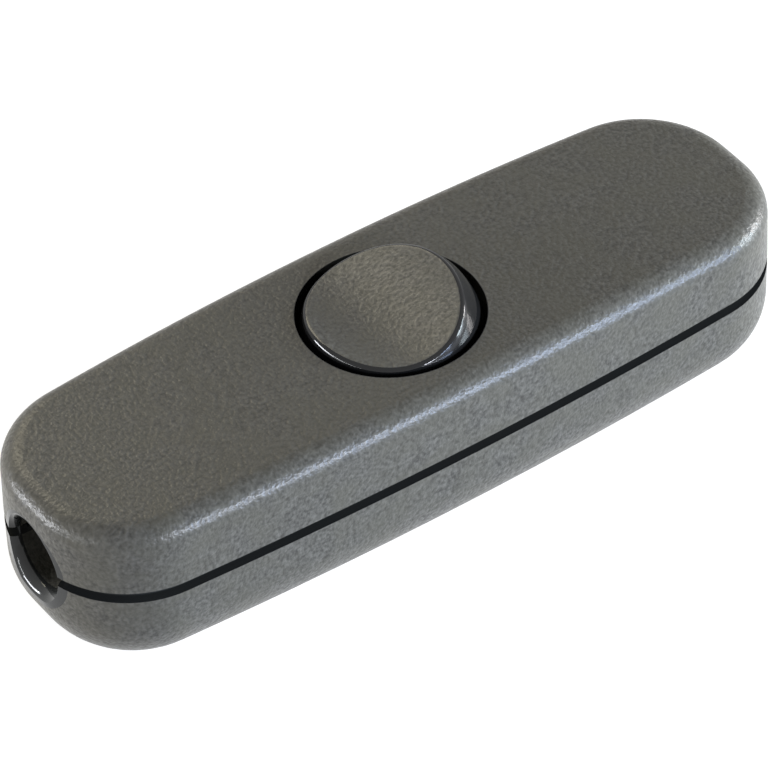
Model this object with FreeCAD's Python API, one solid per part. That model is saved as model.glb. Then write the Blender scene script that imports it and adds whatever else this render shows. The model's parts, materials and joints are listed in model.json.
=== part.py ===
import FreeCAD, Part
import math
import os

# Inline cord switch: a two-part housing with a round rocker in its top and a cord entry at each end.
# Millimetres. X runs along the housing, Y across it, Z up from the flat underside.
# The origin is the middle of the underside. The rocker is modelled with its -X side pressed down.

# Housing outline and height
length = 100.8
width = 31.3
side_bow = 2.1
end_bow = 0.8
corner_radius = 12.6
end_height = 22.7
crown = 0.8
top_fillet = 2.7
bottom_fillet = 8.7
wall = 2.2
draft_degrees = 0.6
least_fillet = 0.4

# Parting line: a shadow groove outside, a lip of the lower shell behind it
cover_depth = 9.3
groove_height = 1.4
groove_depth = 1.25
lip_rise = 1.6
lip_clearance = 0.1

# Cord entries
cord_bore_radius = 4.5
entry_flare = 1.75
entry_ring_wall = 2.0
entry_ring_length = 3.3

# Rocker and the round well it sits in
well_radius = 11.2
collar_wall = 1.4
rocker_gap = 0.25
pivot_depth = 3.82
rocker_tilt = 11.2
rocker_top_rise = 4.7
rocker_dish_radius = 24.0
rocker_edge_fillet = 0.6
rocker_skirt_drop = 3.0
rocker_wall = 1.6
trunnion_radius = 1.5
trunnion_reach = 1.2
running_clearance = 0.06
stop_ledge_width = 1.9
stop_ledge_half_span = 4.0
stop_ledge_thickness = 1.2
stop_gap = 0.25

# Spring plungers, one for each pole
pole_offset = 6.0
plunger_radius = 1.56
plunger_length = 3.9
plunger_stand = 2.4
plunger_boss_wall = 0.9
spigot_radius = 0.85
spigot_length = 1.2
spring_wire_radius = 0.2
spring_turns = 4.5
spring_seat_depth = 2.6
spring_end_gap = 0.05

# See-saw contact levers
fulcrum_rise = 7.02
lever_half_length = 9.0
lever_width = 4.0
lever_thickness = 1.0
lever_tilt = 7.0
lever_gap = 0.06
knife_radius = 0.5
knife_clearance = 0.06
knife_ear = 0.7
knife_ear_rise = 1.5
lever_side_gap = 0.12
lever_rest_gap = 0.15

# Silver contacts
contact_radius = 1.4
contact_height = 0.6
contact_dome = 0.2
contact_station = 7.3
contact_gap = 0.08
rivet_radius = 0.75
rivet_clearance = 0.02
rivet_clinch = 0.3

# Screw terminals
strip_thickness = 1.0
strip_overlap = 1.0
block_length = 8.0
block_height = 7.5
block_pad = 1.8
block_side_gap = 1.5
block_wall_gap = 0.5
block_chamber_gap = 1.0
wire_hole_radius = 1.4
wire_hole_depth = 6.0
wire_hole_height = 3.2
chamber_gap = 0.6
chamber_wall = 1.4
chamber_height = 9.0
slot_clearance = 0.1
earth_bar_width = 4.0
earth_bar_thickness = 1.2

# Screws
terminal_screw_radius = 1.3
terminal_head_radius = 2.4
terminal_head_height = 1.7
terminal_screw_length = 3.6
terminal_screw_stand = 0.5
clamp_screw_radius = 1.1
clamp_head_radius = 2.0
clamp_head_height = 1.5
clamp_screw_length = 7.0
housing_screw_radius = 1.5
housing_head_radius = 2.7
housing_head_height = 1.9
housing_head_depth = 4.0
housing_screw_length = 14.0
screw_clearance = 0.02
through_clearance = 0.2
slot_width = 0.7
slot_depth = 0.8
recess_reach = 1.6
rim_tolerance = 0.1

# Bosses, locating pegs and the cord clamps
screw_boss_wall = 1.5
boss_wall_gap = 0.35
peg_radius = 1.4
peg_length = 2.5
peg_clearance = 0.08
clamp_boss_wall = 1.2
clamp_wall_gap = 0.3
clamp_length = 6.0
clamp_thickness = 1.2
clamp_foot_drop = 1.2
cord_clearance_radius = 3.5
clamp_rib_height = 0.5
clamp_rib_width = 1.4
clamp_rib_root = 0.2
saddle_thickness = 1.5
saddle_spread = 1.9
saddle_drop = 1.4

# How far cutters run past a face, how deep a blind hole goes past its screw or peg,
# and the number of sides on the spring's wire
overrun = 1.0
hole_relief = 0.5
wire_sides = 8

# Places worked out from the sizes above
half_length = length / 2
half_width = width / 2
top_height = end_height + crown
parting_height = end_height - cover_depth
crown_radius = (half_length ** 2 + crown ** 2) / (2 * crown)
side_arc_radius = (half_length ** 2 + side_bow ** 2) / (2 * side_bow)
end_arc_radius = (half_width ** 2 + end_bow ** 2) / (2 * end_bow)
draft_slope = math.tan(math.radians(draft_degrees))
low_rim = parting_height - groove_height / 2
high_rim = parting_height + groove_height / 2
lip_top = parting_height + lip_rise
wall_bite = wall / 2

pivot_height = top_height - pivot_depth
rocker_radius = well_radius - rocker_gap
plunger_bore_radius = plunger_radius + running_clearance
fulcrum_height = wall + fulcrum_rise
plunger_tip_reach = pivot_height - fulcrum_height - lever_thickness - lever_gap
tilt = math.radians(rocker_tilt)
lever_angle = math.radians(lever_tilt)

rest_strip_top = fulcrum_height - lever_half_length * math.sin(lever_angle) - lever_rest_gap
moving_contact_height = contact_height + contact_dome
contact_drop = contact_station * math.sin(lever_angle) + moving_contact_height * math.cos(lever_angle)
fixed_contact_top = fulcrum_height - contact_drop - contact_gap
fixed_strip_top = fixed_contact_top - contact_height

chamber_half = well_radius + chamber_gap
block_start = chamber_half + chamber_wall + block_chamber_gap
block_middle = block_start + block_length / 2
block_end = block_start + block_length
block_base = wall + block_pad
block_top = block_base + block_height

screw_boss_radius = housing_screw_radius + through_clearance + screw_boss_wall
ring_start = half_length - wall - entry_ring_length
station_gap = (ring_start - block_end - 2 * screw_boss_radius - clamp_length) / 3
screw_station = block_end + station_gap + screw_boss_radius
clamp_station = ring_start - station_gap - clamp_length / 2
clamp_boss_radius = clamp_screw_radius + clamp_boss_wall
clamp_seat = parting_height - clamp_foot_drop


def vector(x, y, z):
    return FreeCAD.Vector(x, y, z)


def block(x0, x1, y0, y1, z0, z1):
    """A box between two limits on each axis, given in either order."""
    low = vector(min(x0, x1), min(y0, y1), min(z0, z1))
    return Part.makeBox(abs(x1 - x0), abs(y1 - y0), abs(z1 - z0), low)


def upright(radius, x, y, z0, z1):
    """A round rod along Z."""
    return Part.makeCylinder(radius, z1 - z0, vector(x, y, z0), vector(0, 0, 1))


def crosswise(radius, x, z, y0, y1):
    """A round rod along Y."""
    return Part.makeCylinder(radius, y1 - y0, vector(x, y0, z), vector(0, 1, 0))


def lengthwise(radius, y, z, x0, x1):
    """A round rod along X."""
    return Part.makeCylinder(radius, x1 - x0, vector(x0, y, z), vector(1, 0, 0))


def join(shapes):
    """One solid from shapes that meet."""
    whole = shapes[0].multiFuse(shapes[1:]) if len(shapes) > 1 else shapes[0]
    return whole.removeSplitter()


def corner_centre():
    """The centre of the corner arc, which is tangent to the side arc and the end arc."""
    side_centre_y = half_width - side_arc_radius
    end_centre_x = half_length - end_arc_radius
    side_reach = side_arc_radius - corner_radius
    end_reach = end_arc_radius - corner_radius
    apart = math.hypot(end_centre_x, side_centre_y)
    along = (side_reach ** 2 - end_reach ** 2 + apart ** 2) / (2 * apart)
    across = math.sqrt(side_reach ** 2 - along ** 2)
    unit_x = end_centre_x / apart
    unit_y = -side_centre_y / apart
    first = (along * unit_x - across * unit_y, side_centre_y + along * unit_y + across * unit_x)
    second = (along * unit_x + across * unit_y, side_centre_y + along * unit_y - across * unit_x)
    return max(first, second)


def outline(inset, z):
    """The plan outline of the housing, bowed sides and ends with round corners, moved in by inset."""
    corner_x, corner_y = corner_centre()
    side_centre = vector(0, half_width - side_arc_radius, z)
    end_centre = vector(half_length - end_arc_radius, 0, z)
    corner = vector(corner_x, corner_y, z)
    to_side = (corner - side_centre).normalize()
    to_end = (corner - end_centre).normalize()
    to_middle = (to_side + to_end).normalize()
    on_side = side_centre + to_side * (side_arc_radius - inset)
    on_end = end_centre + to_end * (end_arc_radius - inset)
    on_corner = corner + to_middle * (corner_radius - inset)
    side_top = vector(0, half_width - inset, z)
    end_tip = vector(half_length - inset, 0, z)

    def turned(point, sx, sy):
        return vector(point.x * sx, point.y * sy, z)

    arcs = [
        (turned(on_side, -1, 1), side_top, on_side),
        (on_side, on_corner, on_end),
        (on_end, end_tip, turned(on_end, 1, -1)),
        (turned(on_end, 1, -1), turned(on_corner, 1, -1), turned(on_side, 1, -1)),
        (turned(on_side, 1, -1), turned(side_top, 1, -1), turned(on_side, -1, -1)),
        (turned(on_side, -1, -1), turned(on_corner, -1, -1), turned(on_end, -1, -1)),
        (turned(on_end, -1, -1), turned(end_tip, -1, 1), turned(on_end, -1, 1)),
        (turned(on_end, -1, 1), turned(on_corner, -1, 1), turned(on_side, -1, 1)),
    ]
    return Part.Wire([Part.Arc(start, middle, end).toShape() for start, middle, end in arcs])


def prism(inset, z0, z1):
    """A straight-sided block with the housing's outline."""
    return Part.Face(outline(inset, z0)).extrude(vector(0, 0, z1 - z0))


def crowned_block(inset):
    """A block whose top follows the long arc of the housing's top."""
    radius = crown_radius - inset
    reach = length
    centre_z = top_height - crown_radius
    edge_z = centre_z + math.sqrt(radius ** 2 - reach ** 2)
    y = -width
    left = vector(-reach, y, edge_z)
    right = vector(reach, y, edge_z)
    arc = Part.Arc(left, vector(0, y, centre_z + radius), right).toShape()
    down = Part.makeLine(right, vector(reach, y, inset))
    base = Part.makeLine(vector(reach, y, inset), vector(-reach, y, inset))
    up = Part.makeLine(vector(-reach, y, inset), left)
    return Part.Face(Part.Wire([arc, down, base, up])).extrude(vector(0, 2 * width, 0))


def envelope(inset):
    """The housing's outer form moved in by inset: drafted walls, crowned top, round edges."""
    low = inset - overrun
    high = top_height + overrun
    sections = [
        outline(inset + draft_slope * (parting_height - low), low),
        outline(inset, parting_height),
        outline(inset + draft_slope * (high - parting_height), high),
    ]
    body = Part.makeLoft(sections, True, True).common(crowned_block(inset))
    lowest_top = end_height - inset - crown
    top_edges = [e for e in body.Edges if min(v.Z for v in e.Vertexes) > lowest_top]
    bottom_edges = [e for e in body.Edges if max(v.Z for v in e.Vertexes) < inset + rim_tolerance]
    body = body.makeFillet(max(top_fillet - inset, least_fillet), top_edges)
    bottom_edges = [e for e in body.Edges if max(v.Z for v in e.Vertexes) < inset + rim_tolerance]
    return body.makeFillet(max(bottom_fillet - inset, least_fillet), bottom_edges)


def inner_half_width(x, z):
    """Half the inside width of the housing at a station along X and a height."""
    corner_x, corner_y = corner_centre()
    if x > corner_x:
        half = corner_y + math.sqrt((corner_radius - wall) ** 2 - (x - corner_x) ** 2)
    else:
        half = half_width - wall - side_arc_radius + math.sqrt(side_arc_radius ** 2 - x ** 2)
    fillet = max(bottom_fillet - wall, least_fillet)
    below = max(wall + fillet - z, 0)
    return half - fillet + math.sqrt(fillet ** 2 - below ** 2)


block_row_half = inner_half_width(block_end, block_base) - block_wall_gap
block_width = (2 * block_row_half - 2 * block_side_gap) / 3
block_offset = block_width + block_side_gap
screw_offset = inner_half_width(screw_station, parting_height) - screw_boss_radius - boss_wall_gap
foot_half = inner_half_width(clamp_station + clamp_length / 2, parting_height) - clamp_wall_gap
clamp_offset = foot_half - clamp_boss_radius
screw_places = [(-screw_station, -screw_offset), (screw_station, screw_offset)]
peg_places = [(-screw_station, screw_offset), (screw_station, -screw_offset)]
clamp_places = [(sx * clamp_station, sy * clamp_offset) for sx in (-1, 1) for sy in (-1, 1)]
terminal_places = [(sx * block_middle, sy * block_offset) for sx in (-1, 1) for sy in (-1, 0, 1)]


def entry_cutter(end):
    """The cord bore with its rounded mouth, for the end at -1 or +1."""
    mouth = half_length - entry_flare
    inner = ring_start - overrun
    outer = half_length + overrun
    wide = cord_bore_radius + entry_flare
    turn = math.sqrt(0.5) * entry_flare
    corners = [
        vector(inner, 0, 0),
        vector(inner, 0, cord_bore_radius),
        vector(mouth, 0, cord_bore_radius),
    ]
    bend = vector(mouth + turn, 0, wide - turn)
    rim = vector(half_length, 0, wide)
    beyond = [rim, vector(outer, 0, wide), vector(outer, 0, 0), corners[0]]
    edges = [Part.makeLine(a, b) for a, b in zip(corners, corners[1:])]
    edges.append(Part.Arc(corners[2], bend, rim).toShape())
    edges += [Part.makeLine(a, b) for a, b in zip(beyond, beyond[1:])]
    cutter = Part.Face(Part.Wire(edges)).revolve(vector(0, 0, 0), vector(1, 0, 0), 360)
    cutter.translate(vector(0, 0, parting_height))
    if end < 0:
        cutter = cutter.mirror(vector(0, 0, 0), vector(1, 0, 0))
    return cutter


def entry_ring(end):
    """The thick ring round the cord bore, just inside the end wall."""
    outer = half_length - groove_depth - lip_clearance
    x0, x1 = sorted((end * ring_start, end * outer))
    return lengthwise(cord_bore_radius + entry_ring_wall, 0, parting_height, x0, x1)


def rocker_frame(shape):
    """Moves a shape from the rocker's own frame, with its pivot at the origin, to the rest pose."""
    placed = shape.copy()
    placed.rotate(vector(0, 0, 0), vector(0, 1, 0), -rocker_tilt)
    placed.translate(vector(0, 0, pivot_height))
    return placed


def lever_frame(shape):
    """Moves a shape from a lever's own frame, with its knife edge at the origin, to the rest pose."""
    placed = shape.copy()
    placed.rotate(vector(0, 0, 0), vector(0, 1, 0), lever_tilt)
    placed.translate(vector(0, 0, fulcrum_height))
    return placed


def lower_shell():
    shell = envelope(0).common(block(-length, length, -width, width, -overrun, low_rim))
    lip = prism(groove_depth, low_rim - groove_height, lip_top)
    shell = shell.fuse(lip.common(envelope(0)))
    shell = shell.cut(envelope(wall))
    inner = envelope(wall_bite)
    clear_of_lip = block(-length, length, -width, width, 0, low_rim)
    features = lower_supports() + lower_bosses() + chamber_walls()
    rings = [entry_ring(end).common(prism(groove_depth, 0, parting_height)) for end in (-1, 1)]
    within = [feature.common(inner).common(clear_of_lip) for feature in features]
    shell = join([shell] + within + rings)
    for cutter in lower_cutters():
        shell = shell.cut(cutter)
    return shell.removeSplitter()


def lower_supports():
    """Pads under the terminals and the ribs that cradle the cord."""
    pads = []
    for x, y in terminal_places:
        pads.append(block(x - block_length / 2, x + block_length / 2,
                          y - block_width / 2, y + block_width / 2, 0, block_base))
    for side in (-1, 1):
        y0 = side * pole_offset - lever_width / 2
        y1 = side * pole_offset + lever_width / 2
        fixed_x = contact_station
        pads.append(block(-fixed_x - contact_radius, -fixed_x + contact_radius, y0, y1,
                          0, fixed_strip_top - strip_thickness))
        pads.append(block(-knife_radius, knife_radius + lever_thickness, y0, y1,
                          0, rest_strip_top - strip_thickness))
        pads.append(block(contact_station - contact_radius, contact_station + contact_radius, y0, y1,
                          0, rest_strip_top - strip_thickness))
    saddle_half = cord_clearance_radius + saddle_thickness
    for end in (-1, 1):
        for spread in (-1, 1):
            x = end * clamp_station + spread * saddle_spread
            pads.append(block(x - saddle_thickness / 2, x + saddle_thickness / 2,
                              -saddle_half, saddle_half, 0, parting_height - saddle_drop))
    return pads


def lower_bosses():
    bosses = []
    for x, y in screw_places + peg_places:
        bosses.append(upright(screw_boss_radius, x, y, 0, low_rim))
        tie = math.copysign(screw_boss_radius + boss_wall_gap + wall, y)
        bosses.append(block(x - screw_boss_wall / 2, x + screw_boss_wall / 2, y, y + tie, 0, low_rim))
    for x, y in clamp_places:
        bosses.append(upright(clamp_boss_radius, x, y, 0, clamp_seat))
    return bosses


def chamber_walls():
    """Cross walls that close off the switching chamber, and the ribs between the terminals."""
    walls = []
    for end in (-1, 1):
        x0 = end * chamber_half
        x1 = end * (chamber_half + chamber_wall)
        walls.append(block(x0, x1, -width, width, 0, chamber_height))
        for side in (-1, 1):
            middle = side * (block_width + block_side_gap) / 2
            rib = block_side_gap / 2 - lever_side_gap
            walls.append(block(x1, end * block_end, middle - rib, middle + rib, 0, block_top))
    return walls


def lower_cutters():
    cutters = [entry_cutter(-1), entry_cutter(1)]
    for end in (-1, 1):
        reach = clamp_length
        x0 = end * clamp_station - reach
        cutters.append(lengthwise(cord_clearance_radius, 0, parting_height, x0, x0 + 2 * reach))
    for x, y in screw_places:
        cutters.append(upright(housing_head_radius + through_clearance, x, y, -overrun, housing_head_depth))
        cutters.append(upright(housing_screw_radius + through_clearance, x, y, 0, parting_height))
    for x, y in peg_places:
        hole_base = low_rim - peg_length - hole_relief
        cutters.append(upright(peg_radius + peg_clearance, x, y, hole_base, low_rim))
    for x, y in clamp_places:
        hole_base = clamp_seat + clamp_thickness - clamp_screw_length - hole_relief
        cutters.append(upright(clamp_screw_radius + screw_clearance, x, y, hole_base, parting_height))
    grow = slot_clearance
    strip_half = lever_width / 2 + grow
    for side in (-1, 1):
        y = side * pole_offset
        reach = block_start + strip_overlap + grow
        cutters.append(block(-reach, -chamber_half + grow, y - strip_half, y + strip_half,
                             fixed_strip_top - strip_thickness, chamber_height + overrun))
        cutters.append(block(chamber_half - grow, reach, y - strip_half, y + strip_half,
                             rest_strip_top - strip_thickness, chamber_height + overrun))
    bar_half = earth_bar_width / 2 + grow
    cutters.append(block(-block_start, block_start, -bar_half, bar_half,
                         block_base, chamber_height + overrun))
    return cutters


def upper_shell():
    shell = envelope(0).common(block(-length, length, -width, width, high_rim, top_height + overrun))
    shell = shell.cut(envelope(wall))
    shell = shell.cut(prism(groove_depth - lip_clearance, high_rim - overrun, lip_top))
    roof = envelope(wall_bite)
    post_radius = screw_boss_radius - boss_wall_gap
    posts = []
    for x, y in screw_places + peg_places:
        posts.append(upright(post_radius, x, y, low_rim, top_height).common(roof))
    inside_lip = prism(wall + lip_clearance, 0, top_height + overrun)
    rings = [upper_ring(end, inside_lip, roof) for end in (-1, 1)]
    shell = join([shell, collar().common(inside_lip)] + posts + rings)
    for cutter in upper_cutters():
        shell = shell.cut(cutter)
    for x, y in peg_places:
        shell = shell.fuse(upright(peg_radius, x, y, low_rim - peg_length, low_rim + overrun))
    return shell.removeSplitter()


def upper_ring(end, inside_lip, roof):
    """The upper half of the ring round a cord bore, cut back where the lower shell's lip stands."""
    ring = entry_ring(end).common(block(-length, length, -width, width, parting_height, top_height))
    beside_lip = ring.common(inside_lip)
    above_lip = ring.common(block(-length, length, -width, width, lip_top, top_height)).common(roof)
    return beside_lip.fuse(above_lip)


def collar():
    """The round wall of the well, with a stop ledge for the rocker at each end of its swing."""
    ledge_top = rocker_low_edge() - stop_gap
    base = ledge_top - stop_ledge_thickness
    top = top_height - wall_bite
    ring = upright(well_radius + collar_wall, 0, 0, base, top)
    ring = ring.cut(upright(well_radius, 0, 0, base - overrun, top + overrun))
    ledges = upright(well_radius + collar_wall / 2, 0, 0, base, ledge_top)
    ledges = ledges.common(block(-length, length, -stop_ledge_half_span, stop_ledge_half_span, 0, top))
    inner = well_radius - stop_ledge_width
    ledges = ledges.cut(block(-inner, inner, -width, width, 0, top))
    return ring.fuse(ledges)


def rocker_low_edge():
    """The height of the rocker's lowest edge when it is tilted all the way."""
    edge = math.sqrt(rocker_radius ** 2 - rocker_skirt_drop ** 2)
    return pivot_height - edge * math.sin(tilt) - rocker_skirt_drop * math.cos(tilt)


def upper_cutters():
    cutters = [entry_cutter(-1), entry_cutter(1)]
    ledge_top = rocker_low_edge() - stop_gap
    cutters.append(upright(well_radius, 0, 0, ledge_top, top_height + overrun))
    reach = well_radius + collar_wall + overrun
    cutters.append(crosswise(trunnion_radius + running_clearance, 0, pivot_height, -reach, reach))
    for x, y in screw_places:
        pilot = housing_screw_radius + screw_clearance
        pilot_top = housing_head_depth + housing_screw_length + hole_relief
        cutters.append(upright(pilot, x, y, 0, pilot_top))
    return cutters


def rocker_button():
    """A part-ball with a dished top, hollow underneath, with two trunnions and two plunger bosses."""
    ball = Part.makeSphere(rocker_radius)
    dish_axis = rocker_top_rise + rocker_dish_radius
    reach = rocker_radius + overrun
    body = ball.cut(crosswise(rocker_dish_radius, 0, dish_axis, -reach, reach))
    rim = [e for e in body.Edges if min(v.Z for v in e.Vertexes) > 0 and e.Length > rocker_radius]
    body = body.makeFillet(rocker_edge_fillet, rim)
    body = body.cut(block(-reach, reach, -reach, reach, -2 * reach, -rocker_skirt_drop))
    hollow = Part.makeSphere(rocker_radius - rocker_wall)
    hollow = hollow.cut(block(-reach, reach, -reach, reach, rocker_top_rise - rocker_wall, reach + overrun))
    body = body.cut(hollow)
    boss_radius = plunger_bore_radius + plunger_boss_wall
    boss_base = plunger_stand - plunger_tip_reach
    for side in (-1, 1):
        boss = upright(boss_radius, 0, side * pole_offset, boss_base, rocker_top_rise - rocker_wall / 2)
        body = body.fuse(boss.common(Part.makeSphere(rocker_radius * 2)))
        root = rocker_radius - rocker_wall / 2
        tip = well_radius + trunnion_reach
        y0, y1 = sorted((side * root, side * tip))
        body = body.fuse(crosswise(trunnion_radius, 0, 0, y0, y1))
    for side in (-1, 1):
        bore_top = rocker_top_rise - spring_seat_depth
        body = body.cut(upright(plunger_bore_radius, 0, side * pole_offset, boss_base - overrun, bore_top))
    return rocker_frame(body.removeSplitter())


def plunger(side):
    """A round-nosed pin that slides in its boss, with a spigot for the spring."""
    y = side * pole_offset
    nose = -plunger_tip_reach + plunger_radius
    shoulder = nose + plunger_length
    pin = upright(plunger_radius, 0, y, nose, shoulder)
    pin = pin.fuse(Part.makeSphere(plunger_radius, vector(0, y, nose)))
    pin = pin.fuse(upright(spigot_radius, 0, y, shoulder, shoulder + spigot_length))
    return rocker_frame(pin.removeSplitter())


def plunger_spring(side):
    """The coil spring between the plunger's shoulder and the end of its bore."""
    low = -plunger_tip_reach + plunger_radius + plunger_length + spring_wire_radius + spring_end_gap
    high = rocker_top_rise - spring_seat_depth - spring_wire_radius - spring_end_gap
    coil_radius = (spigot_radius + plunger_bore_radius) / 2
    rise = high - low
    helix = Part.makeHelix(rise / spring_turns, rise, coil_radius)
    coil = Part.Wire(helix).makePipeShell([wire_section(coil_radius)], True, True)
    coil.translate(vector(0, side * pole_offset, low))
    return rocker_frame(coil)


def wire_section(coil_radius):
    """The many-sided section of the spring's wire, at the start of the coil."""
    corners = []
    for step in range(wire_sides + 1):
        turn = 2 * math.pi * step / wire_sides
        x = coil_radius + spring_wire_radius * math.cos(turn)
        corners.append(vector(x, 0, spring_wire_radius * math.sin(turn)))
    return Part.makePolygon(corners)


def contact_lever(side):
    """A flat brass lever that rocks on a knife edge, with a hole for its contact."""
    y = side * pole_offset
    half = lever_width / 2
    lever = block(-lever_half_length, lever_half_length, y - half, y + half, 0, lever_thickness)
    ends = [e for e in lever.Edges if abs(e.Vertexes[0].Z - e.Vertexes[1].Z) > lever_thickness / 2]
    lever = lever.makeFillet(half / 2, ends)
    groove = crosswise(knife_radius + knife_clearance, 0, 0, y - width, y + width)
    hole = upright(rivet_radius + rivet_clearance, -contact_station, y, -overrun, lever_thickness + overrun)
    return lever_frame(lever.cut(groove).cut(hole))


def moving_contact(side):
    """A silver rivet under the lever's switching end."""
    y = side * pole_offset
    x = -contact_station
    head = upright(contact_radius, x, y, -contact_height, 0)
    cap_radius = (contact_radius ** 2 + contact_dome ** 2) / (2 * contact_dome)
    cap = Part.makeSphere(cap_radius, vector(x, y, cap_radius - contact_height - contact_dome))
    cap = cap.common(upright(contact_radius, x, y, -contact_height - overrun, -contact_height))
    shank = upright(rivet_radius, x, y, 0, lever_thickness)
    clinch = upright(rivet_radius + rivet_clinch, x, y, lever_thickness, lever_thickness + rivet_clinch)
    return lever_frame(join([head, cap, shank, clinch]))


def fixed_contact(side):
    """The silver rivet on the fixed strip, under the moving one."""
    y = side * pole_offset
    x = -contact_station
    strip_base = fixed_strip_top - strip_thickness
    head = upright(contact_radius, x, y, fixed_strip_top, fixed_contact_top)
    shank = upright(rivet_radius, x, y, strip_base, fixed_strip_top)
    return join([head, shank])


def terminal_block(end, y):
    """A brass block with a screw hole from above and a wire hole from its outer end."""
    x = end * block_middle
    body = block(end * block_start, end * block_end, y - block_width / 2, y + block_width / 2,
                 block_base, block_top)
    wire_height = block_base + wire_hole_height
    hole = upright(terminal_screw_radius + screw_clearance, x, y, wire_height, block_top + overrun)
    x0, x1 = sorted((end * (block_end - wire_hole_depth), end * (block_end + overrun)))
    wire_hole = lengthwise(wire_hole_radius, y, wire_height, x0, x1)
    return body.cut(hole).cut(wire_hole)


def fixed_terminal(side):
    """The terminal at the -X end, whose strip carries the fixed contact."""
    y = side * pole_offset
    half = lever_width / 2
    strip = block(-block_start - strip_overlap, -contact_station + contact_radius, y - half, y + half,
                  fixed_strip_top - strip_thickness, fixed_strip_top)
    hole = upright(rivet_radius + rivet_clearance, -contact_station, y, 0, top_height)
    return join([terminal_block(-1, side * block_offset), strip]).cut(hole)


def pivot_terminal(side):
    """The terminal at the +X end, whose strip ends in the knife edge that the lever rocks on."""
    y = side * pole_offset
    half = lever_width / 2 + lever_side_gap
    strip_base = rest_strip_top - strip_thickness
    strip = block(-knife_radius, block_start + strip_overlap, y - lever_width / 2, y + lever_width / 2,
                  strip_base, rest_strip_top)
    plate = block(-knife_radius, knife_radius, y - half - knife_ear, y + half + knife_ear,
                  strip_base, fulcrum_height + knife_ear_rise)
    plate = plate.cut(block(-knife_radius, knife_radius, y - half, y + half, fulcrum_height, top_height))
    knife = crosswise(knife_radius, 0, fulcrum_height, y - half, y + half)
    return join([terminal_block(1, side * block_offset), strip, plate, knife])


def earth_terminal():
    """The through terminal in the middle: two blocks on one bar."""
    reach = block_start + strip_overlap
    bar = block(-reach, reach, -earth_bar_width / 2, earth_bar_width / 2,
                block_base, block_base + earth_bar_thickness)
    return join([terminal_block(-1, 0), terminal_block(1, 0), bar])


def slotted_screw(radius, shank_length, head_radius, head_height, x, y, seat):
    """A cheese-head screw pointing down, with its head on the seat."""
    shank = upright(radius, x, y, seat - shank_length, seat)
    head = upright(head_radius, x, y, seat, seat + head_height)
    top_edge = [e for e in head.Edges if e.Closed and e.BoundBox.ZMin > seat + head_height / 2]
    head = head.makeChamfer(head_height / 5, top_edge)
    slot = block(x - head_radius, x + head_radius, y - slot_width / 2, y + slot_width / 2,
                 seat + head_height - slot_depth, seat + head_height + overrun)
    return join([shank, head]).cut(slot)


def terminal_screws():
    seat = block_top + terminal_screw_stand
    return [slotted_screw(terminal_screw_radius, terminal_screw_length, terminal_head_radius,
                          terminal_head_height, x, y, seat) for x, y in terminal_places]


def clamp_screws():
    seat = clamp_seat + clamp_thickness
    return [slotted_screw(clamp_screw_radius, clamp_screw_length, clamp_head_radius,
                          clamp_head_height, x, y, seat) for x, y in clamp_places]


def housing_screws():
    """Cross-recessed screws that come up from underneath, their heads sunk in the lower shell."""
    screws = []
    seat = housing_head_depth
    face = seat - housing_head_height
    for x, y in screw_places:
        head = upright(housing_head_radius, x, y, face, seat)
        low_edge = [e for e in head.Edges if e.Closed and e.BoundBox.ZMax < seat - rim_tolerance]
        head = head.makeChamfer(housing_head_height / 4, low_edge)
        screw = join([head, upright(housing_screw_radius, x, y, seat, seat + housing_screw_length)])
        for long_x, long_y in ((recess_reach, slot_width / 2), (slot_width / 2, recess_reach)):
            recess = block(x - long_x, x + long_x, y - long_y, y + long_y, face, face + slot_depth)
            screw = screw.cut(recess)
        screws.append(screw)
    return screws


def cord_clamp(end):
    """A saddle strap over the cord, with a gripping rib inside its arch."""
    x0 = end * clamp_station - clamp_length / 2
    x1 = x0 + clamp_length
    arch_radius = cord_clearance_radius + clamp_thickness
    feet = block(x0, x1, -foot_half, foot_half, clamp_seat, clamp_seat + clamp_thickness)
    corners = [e for e in feet.Edges if abs(e.Vertexes[0].Z - e.Vertexes[1].Z) > clamp_thickness / 2]
    feet = feet.makeFillet(clamp_boss_radius / 2, corners)
    arch = lengthwise(arch_radius, 0, parting_height, x0, x1)
    arch = arch.common(block(x0, x1, -width, width, clamp_seat, top_height))
    strap = feet.fuse(arch)
    hollow = lengthwise(cord_clearance_radius, 0, parting_height, x0 - overrun, x1 + overrun)
    strap = strap.cut(hollow)
    strap = strap.cut(block(x0, x1, -cord_clearance_radius, cord_clearance_radius, 0, parting_height))
    middle = (x0 + x1) / 2
    rib = lengthwise(cord_clearance_radius + clamp_rib_root, 0, parting_height,
                     middle - clamp_rib_width / 2, middle + clamp_rib_width / 2)
    rib = rib.cut(lengthwise(cord_clearance_radius - clamp_rib_height, 0, parting_height, x0, x1))
    rib = rib.common(block(x0, x1, -width, width, parting_height, top_height))
    strap = strap.fuse(rib)
    for x, y in clamp_places:
        strap = strap.cut(upright(clamp_screw_radius + through_clearance, x, y, 0, top_height))
    return strap.removeSplitter()


def write(name, shape):
    """Writes one piece, or a group of like pieces, to its own file."""
    whole = Part.makeCompound(shape) if isinstance(shape, list) else shape
    whole.exportStep("parts/" + name + ".step")


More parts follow.
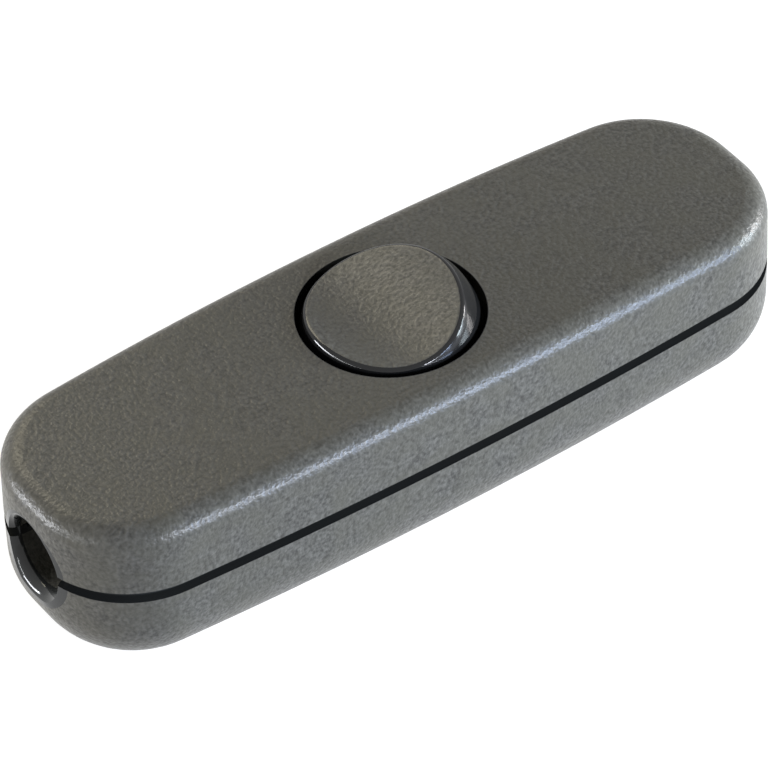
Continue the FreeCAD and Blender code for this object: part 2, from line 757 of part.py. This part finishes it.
def main():
    os.makedirs("parts", exist_ok=True)
    write("lower_shell", lower_shell())
    write("upper_shell", upper_shell())
    write("rocker_button", rocker_button())
    for side, pole in ((-1, "live"), (1, "neutral")):
        write("plunger_" + pole, plunger(side))
        write("plunger_spring_" + pole, plunger_spring(side))
        write("contact_lever_" + pole, contact_lever(side))
        write("moving_contact_" + pole, moving_contact(side))
        write("fixed_contact_" + pole, fixed_contact(side))
        write("fixed_terminal_" + pole, fixed_terminal(side))
        write("pivot_terminal_" + pole, pivot_terminal(side))
    write("earth_terminal", earth_terminal())
    for end, name in ((-1, "left"), (1, "right")):
        write("cord_clamp_" + name, cord_clamp(end))
    write("terminal_screws", terminal_screws())
    write("clamp_screws", clamp_screws())
    write("housing_screws", housing_screws())


main()
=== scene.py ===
import json
import math

import bpy
from mathutils import Matrix, Vector


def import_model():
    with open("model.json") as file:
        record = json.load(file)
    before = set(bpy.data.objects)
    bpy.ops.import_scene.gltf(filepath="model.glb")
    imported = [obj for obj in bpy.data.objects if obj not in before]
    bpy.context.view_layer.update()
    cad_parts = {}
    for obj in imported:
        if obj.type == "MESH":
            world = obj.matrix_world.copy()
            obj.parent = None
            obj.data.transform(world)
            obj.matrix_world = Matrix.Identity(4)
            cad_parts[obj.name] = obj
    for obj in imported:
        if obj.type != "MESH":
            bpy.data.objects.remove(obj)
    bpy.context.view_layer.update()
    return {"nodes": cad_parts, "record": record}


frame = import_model()
nodes = frame["nodes"]

# Places on the part that the finishes follow, in metres
PARTING_HEIGHT = 0.0134
GROOVE_HALF_HEIGHT = 0.00073
WELL_RADIUS = 0.01126
LOWER_LIP_RADIUS = 0.0064
UPPER_LIP_RADIUS = 0.0060
MOUTH_START = 0.04865
ROCKER_PIVOT_HEIGHT = 0.01968
ROCKER_TOP_REACH = 0.01066
ROCKER_SIDE_REACH = 0.01072

# The moulded finish. Lengths in metres, colours as shares of the plastic's own colour
GRAIN_DARKEST = 0.46
GRAIN_PALEST = 1.50
CLOUD_TINT = (1.02, 1.01, 0.90)
COARSE_SHARE = 0.4
ROUGHNESS_SPREAD = 0.05
POLISHED_ROUGHNESS = 0.10
POLISHED_BUMP = 0.01
PLASTIC_SPECULAR = 0.33
SHELL_COLOUR = (0.088, 0.084, 0.072)
# Painted light: the shells' smooth black is lifted above the rocker's smooth black, so the well's gap, the groove
# and the cord mouths show lighter than their shade
SHELL_SMOOTH_BLACK_AND_PAINTED_LIGHT = (0.026, 0.027, 0.026)
ROCKER_COLOUR = (0.105, 0.101, 0.089)
ROCKER_SMOOTH_COLOUR = (0.008, 0.008, 0.008)

# Light on the object from all round, and the floor: its half width, its height just under the part, its paper
# colour and the glow with which it shows white
WORLD_LIGHT = 0.02
FLOOR_HALF = 1.5
FLOOR_HEIGHT = -0.0001
FLOOR_PAPER = (0.35, 0.35, 0.35, 1.0)
FLOOR_GLOW = 0.90

# Lamps: name, azimuth from +X and elevation in degrees, width and height in metres, watts and colour
LAMP_DISTANCE = 0.8
LAMP_TARGET = Vector((0.0, 0.0, 0.012))
LAMPS = (
    ("front", 300.0, 8.0, (0.22, 0.22), 5.6, (0.53, 0.68, 1.0)),
    ("strip", 281.0, 11.0, (0.30, 0.08), 4.4, (0.86, 0.90, 1.0)),
    ("front_right", 330.0, 8.0, (0.22, 0.22), 6.2, (0.80, 0.92, 1.0)),
    ("right", 346.0, 8.0, (0.14, 0.20), 3.4, (1.0, 0.97, 0.97)),
    ("top", 90.0, 42.0, (0.34, 0.34), 1.9, (1.0, 0.92, 0.70)),
    ("edge", 150.0, 5.0, (0.45, 0.12), 6.2, (0.93, 0.95, 1.0)),
    ("left", 183.0, 9.0, (0.45, 0.04), 1.3, (0.95, 0.98, 1.0)),
)

# Camera: direction and roll in degrees, distance in metres, lens in millimetres, framing found from the photograph
CAMERA_TARGET = Vector((0.0, 0.0, 0.01135))
CAMERA_AZIMUTH = -33.9747
CAMERA_ELEVATION = 42.8026
CAMERA_ROLL = -2.0804
CAMERA_DISTANCE = 0.6959
CAMERA_LENS = 279.4
CAMERA_SENSOR = 36.0
CAMERA_SHIFT_X = -0.01275
CAMERA_SHIFT_Y = 0.00647


def new_material(name):
    material = bpy.data.materials.new(name)
    material.use_nodes = True
    tree = material.node_tree
    tree.nodes.clear()
    output = tree.nodes.new("ShaderNodeOutputMaterial")
    shader = tree.nodes.new("ShaderNodeBsdfPrincipled")
    tree.links.new(shader.outputs["BSDF"], output.inputs["Surface"])
    return material, tree, shader


def feed(tree, source, socket):
    """Puts a number or another node's output on a socket."""
    if isinstance(source, (int, float)):
        socket.default_value = source
    else:
        tree.links.new(source, socket)


def maths(tree, operation, first, second=None):
    node = tree.nodes.new("ShaderNodeMath")
    node.operation = operation
    for source, socket in zip((first, second), node.inputs):
        if source is not None:
            feed(tree, source, socket)
    return node.outputs[0]


def length(tree, first, second):
    """The length of the straight line with these two sides."""
    squares = maths(tree, "ADD", maths(tree, "POWER", first, 2.0), maths(tree, "POWER", second, 2.0))
    return maths(tree, "SQRT", squares)


def object_point(tree):
    coordinates = tree.nodes.new("ShaderNodeTexCoord")
    return coordinates.outputs["Object"]


def axes_of(tree, point):
    node = tree.nodes.new("ShaderNodeSeparateXYZ")
    tree.links.new(point, node.inputs[0])
    return node.outputs


def noise(tree, point, size, detail=2.0, roughness=0.5):
    """Noise whose features are about the given size in metres."""
    node = tree.nodes.new("ShaderNodeTexNoise")
    node.inputs["Scale"].default_value = 1.0 / size
    node.inputs["Detail"].default_value = detail
    node.inputs["Roughness"].default_value = roughness
    tree.links.new(point, node.inputs["Vector"])
    return node.outputs["Fac"]


def ramp(tree, source, low, high, out_low, out_high):
    """Runs evenly from out_low to out_high while the source goes from low to high."""
    node = tree.nodes.new("ShaderNodeMapRange")
    node.inputs["From Min"].default_value = low
    node.inputs["From Max"].default_value = high
    node.inputs["To Min"].default_value = out_low
    node.inputs["To Max"].default_value = out_high
    node.clamp = True
    feed(tree, source, node.inputs["Value"])
    return node.outputs["Result"]


def blend_colours(tree, share, first, second):
    """The first colour where share is 0, the second where it is 1."""
    node = tree.nodes.new("ShaderNodeMix")
    node.data_type = "RGBA"
    feed(tree, share, node.inputs[0])
    for source, socket in ((first, node.inputs[6]), (second, node.inputs[7])):
        if isinstance(source, tuple):
            socket.default_value = (*source, 1.0)
        else:
            tree.links.new(source, socket)
    return node.outputs[2]


def blend_values(tree, share, first, second):
    """The first value where share is 0, the second where it is 1."""
    node = tree.nodes.new("ShaderNodeMix")
    node.data_type = "FLOAT"
    feed(tree, share, node.inputs[0])
    feed(tree, first, node.inputs[2])
    feed(tree, second, node.inputs[3])
    return node.outputs[0]


def tinted(colour, share):
    """The colour times one number, or times a number for each channel."""
    shares = share if isinstance(share, tuple) else (share,) * 3
    return tuple(c * k for c, k in zip(colour, shares))


def bump(tree, height, strength, distance):
    node = tree.nodes.new("ShaderNodeBump")
    feed(tree, strength, node.inputs["Strength"])
    node.inputs["Distance"].default_value = distance
    tree.links.new(height, node.inputs["Height"])
    return node.outputs["Normal"]


def inside(tree, value, limit, soft):
    """1 where the value is under the limit, falling to 0 over a soft edge."""
    return ramp(tree, value, limit - soft, limit + soft, 1.0, 0.0)


def polished_places(tree, point):
    """1 on the smooth faces of the shells: the groove, the well's wall and the lips of the cord mouths, where the
    smooth black with its painted light goes.
    """
    x, y, z = axes_of(tree, point)
    from_parting = maths(tree, "ABSOLUTE", maths(tree, "SUBTRACT", z, PARTING_HEIGHT))
    groove = inside(tree, from_parting, GROOVE_HALF_HEIGHT, 0.00002)
    above = ramp(tree, z, PARTING_HEIGHT, PARTING_HEIGHT + 0.001, 0.0, 1.0)
    well = maths(tree, "MULTIPLY", inside(tree, length(tree, x, y), WELL_RADIUS, 0.00003), above)
    from_bore = length(tree, from_parting, y)
    narrower = ramp(tree, z, PARTING_HEIGHT, PARTING_HEIGHT + 0.0001, 0.0, LOWER_LIP_RADIUS - UPPER_LIP_RADIUS)
    lip = inside(tree, maths(tree, "ADD", from_bore, narrower), LOWER_LIP_RADIUS, 0.00005)
    at_end = ramp(tree, maths(tree, "ABSOLUTE", x), MOUTH_START, MOUTH_START + 0.0001, 0.0, 1.0)
    mouth = maths(tree, "MULTIPLY", lip, at_end)
    return maths(tree, "MAXIMUM", groove, maths(tree, "MAXIMUM", well, mouth))


def rocker_sides(tree, point):
    """1 on the rocker's polished sides, which lie on a ball about its pivot."""
    x, y, z = axes_of(tree, point)
    rise = maths(tree, "SUBTRACT", z, ROCKER_PIVOT_HEIGHT)
    reach = length(tree, length(tree, x, y), rise)
    return ramp(tree, reach, ROCKER_TOP_REACH, ROCKER_SIDE_REACH, 0.0, 1.0)


def moulded(name, textured, smooth, grain, depth, rough, polished_mask):
    """Moulded plastic: spark-eroded grain, polished where the mask says so."""
    material, tree, shader = new_material(name)
    point = object_point(tree)
    fine = noise(tree, point, grain, 1.0)
    coarse = noise(tree, point, grain * 2.2, 0.0)
    cloud = noise(tree, point, grain * 9)
    polished = polished_mask(tree, point)
    tone = blend_colours(tree, ramp(tree, fine, 0.25, 0.75, 0.0, 1.0),
                         tinted(textured, GRAIN_DARKEST), tinted(textured, GRAIN_PALEST))
    tone = blend_colours(tree, ramp(tree, cloud, 0.35, 0.65, 0.0, 0.5), tone, tinted(textured, CLOUD_TINT))
    tree.links.new(blend_colours(tree, polished, tone, smooth), shader.inputs["Base Color"])
    sparkle = ramp(tree, fine, 0.3, 0.7, rough + ROUGHNESS_SPREAD, rough - ROUGHNESS_SPREAD)
    tree.links.new(blend_values(tree, polished, sparkle, POLISHED_ROUGHNESS), shader.inputs["Roughness"])
    shader.inputs["Specular IOR Level"].default_value = PLASTIC_SPECULAR
    height = maths(tree, "ADD", fine, maths(tree, "MULTIPLY", coarse, COARSE_SHARE))
    strength = blend_values(tree, polished, 1.0, POLISHED_BUMP)
    tree.links.new(bump(tree, height, strength, depth), shader.inputs["Normal"])
    return material


def metal(name, colour, roughness, grain, tarnish):
    """Metal with drawn or plated grain and slight tarnish."""
    material, tree, shader = new_material(name)
    point = object_point(tree)
    fine = noise(tree, point, grain, 3.0, 0.6)
    cloud = noise(tree, point, grain * 14)
    tone = blend_colours(tree, ramp(tree, cloud, 0.35, 0.65, 0.0, 1.0), colour, tinted(colour, tarnish))
    tree.links.new(tone, shader.inputs["Base Color"])
    shader.inputs["Metallic"].default_value = 1.0
    tree.links.new(ramp(tree, fine, 0.3, 0.7, roughness - 0.08, roughness + 0.08), shader.inputs["Roughness"])
    tree.links.new(bump(tree, fine, 0.2, 0.00002), shader.inputs["Normal"])
    return material


def nylon(name, colour):
    """Natural nylon: pale, a little translucent and slightly uneven."""
    material, tree, shader = new_material(name)
    point = object_point(tree)
    cloud = noise(tree, point, 0.004)
    fine = noise(tree, point, 0.0004)
    tone = blend_colours(tree, ramp(tree, cloud, 0.35, 0.65, 0.0, 1.0), colour, tinted(colour, 0.92))
    tree.links.new(tone, shader.inputs["Base Color"])
    tree.links.new(ramp(tree, fine, 0.3, 0.7, 0.32, 0.42), shader.inputs["Roughness"])
    shader.inputs["Subsurface Weight"].default_value = 0.1
    shader.inputs["Subsurface Radius"].default_value = (0.001, 0.001, 0.001)
    tree.links.new(bump(tree, fine, 0.1, 0.00001), shader.inputs["Normal"])
    return material


def materials():
    """A finish for each material slot of the record."""
    return {
        # The shells' smooth faces get the smooth black with its painted light
        "shell_plastic": moulded("shell_plastic", SHELL_COLOUR, SHELL_SMOOTH_BLACK_AND_PAINTED_LIGHT, 0.00048, 0.00008, 0.35,
                                 polished_places),
        "rocker_plastic": moulded("rocker_plastic", ROCKER_COLOUR, ROCKER_SMOOTH_COLOUR, 0.00046, 0.00007, 0.38,
                                  rocker_sides),
        "plunger_plastic": nylon("plunger_nylon", (0.75, 0.73, 0.66)),
        "clamp_plastic": nylon("clamp_nylon", (0.70, 0.68, 0.62)),
        "brass": metal("brass", (0.78, 0.60, 0.28), 0.3, 0.0002, 0.85),
        "silver": metal("contact_silver", (0.85, 0.85, 0.83), 0.28, 0.0002, 0.9),
        "spring_steel": metal("spring_steel", (0.55, 0.55, 0.56), 0.3, 0.0001, 0.85),
        "plated_steel": metal("plated_steel", (0.70, 0.70, 0.70), 0.32, 0.0003, 0.88),
    }


def dress_nodes():
    finish = materials()
    for part in frame["record"]["subparts"]:
        piece = nodes[part["node"]]
        piece.data.materials.clear()
        piece.data.materials.append(finish[part["material_slot"]])


def seen_directly(tree):
    """1 for rays that show the background: camera, glossy and transmission rays."""
    path = tree.nodes.new("ShaderNodeLightPath")
    seen = maths(tree, "MAXIMUM", path.outputs["Is Camera Ray"], path.outputs["Is Glossy Ray"])
    return maths(tree, "MAXIMUM", seen, path.outputs["Is Transmission Ray"])


def world(light):
    """Lights the object at the given level, and shows white behind it."""
    made = bpy.data.worlds.new("studio")
    made.use_nodes = True
    tree = made.node_tree
    background = tree.nodes["Background"]
    background.inputs["Color"].default_value = (1.0, 1.0, 1.0, 1.0)
    tree.links.new(blend_values(tree, seen_directly(tree), light, 1.0), background.inputs["Strength"])
    bpy.context.scene.world = made


def floor(glow):
    """A pale paper floor that takes shadows and shows white."""
    mesh = bpy.data.meshes.new("floor")
    corners = [(FLOOR_HALF * x, FLOOR_HALF * y, FLOOR_HEIGHT) for x, y in ((-1, -1), (1, -1), (1, 1), (-1, 1))]
    mesh.from_pydata(corners, [], [(0, 1, 2, 3)])
    made = bpy.data.objects.new("floor", mesh)
    bpy.context.scene.collection.objects.link(made)
    material = bpy.data.materials.new("floor_paper")
    material.use_nodes = True
    tree = material.node_tree
    tree.nodes.clear()
    output = tree.nodes.new("ShaderNodeOutputMaterial")
    paper = tree.nodes.new("ShaderNodeBsdfDiffuse")
    paper.inputs["Color"].default_value = FLOOR_PAPER
    shine = tree.nodes.new("ShaderNodeEmission")
    tree.links.new(blend_values(tree, seen_directly(tree), 0.0, glow), shine.inputs["Strength"])
    both = tree.nodes.new("ShaderNodeAddShader")
    tree.links.new(paper.outputs[0], both.inputs[0])
    tree.links.new(shine.outputs[0], both.inputs[1])
    tree.links.new(both.outputs[0], output.inputs["Surface"])
    mesh.materials.append(material)


def softbox(name, azimuth, elevation, size, power, colour):
    """A rectangular lamp that looks at the part from a direction counted from +X, in degrees."""
    around, rise = math.radians(azimuth), math.radians(elevation)
    away = Vector((math.cos(rise) * math.cos(around), math.cos(rise) * math.sin(around), math.sin(rise)))
    lamp = bpy.data.lights.new(name, "AREA")
    lamp.shape = "RECTANGLE"
    lamp.size, lamp.size_y = size
    lamp.energy = power
    lamp.color = colour
    made = bpy.data.objects.new(name, lamp)
    made.location = LAMP_TARGET + away * LAMP_DISTANCE
    made.rotation_euler = (-away).to_track_quat("-Z", "Y").to_euler()
    bpy.context.scene.collection.objects.link(made)


def camera():
    """The camera at the photograph's place. Its azimuth is counted from -Y."""
    azimuth, elevation, roll = map(math.radians, (CAMERA_AZIMUTH, CAMERA_ELEVATION, CAMERA_ROLL))
    back = Vector((math.sin(azimuth) * math.cos(elevation), -math.cos(azimuth) * math.cos(elevation),
                   math.sin(elevation)))
    right = Vector((math.cos(azimuth), math.sin(azimuth), 0.0))
    up = back.cross(right)
    across = right * math.cos(roll) + up * math.sin(roll)
    upward = up * math.cos(roll) - right * math.sin(roll)
    data = bpy.data.cameras.new("camera")
    data.lens = CAMERA_LENS
    data.sensor_width = CAMERA_SENSOR
    data.shift_x = CAMERA_SHIFT_X
    data.shift_y = CAMERA_SHIFT_Y
    data.clip_start = 0.01
    data.clip_end = 20.0
    made = bpy.data.objects.new("camera", data)
    place = CAMERA_TARGET + back * CAMERA_DISTANCE
    turn = Matrix((across, upward, back)).transposed().to_4x4()
    made.matrix_world = Matrix.Translation(place) @ turn
    bpy.context.scene.collection.objects.link(made)
    bpy.context.scene.camera = made


bpy.context.scene.view_settings.view_transform = "Standard"
dress_nodes()
world(WORLD_LIGHT)
floor(FLOOR_GLOW)
for lamp_row in LAMPS:
    softbox(*lamp_row)
camera()
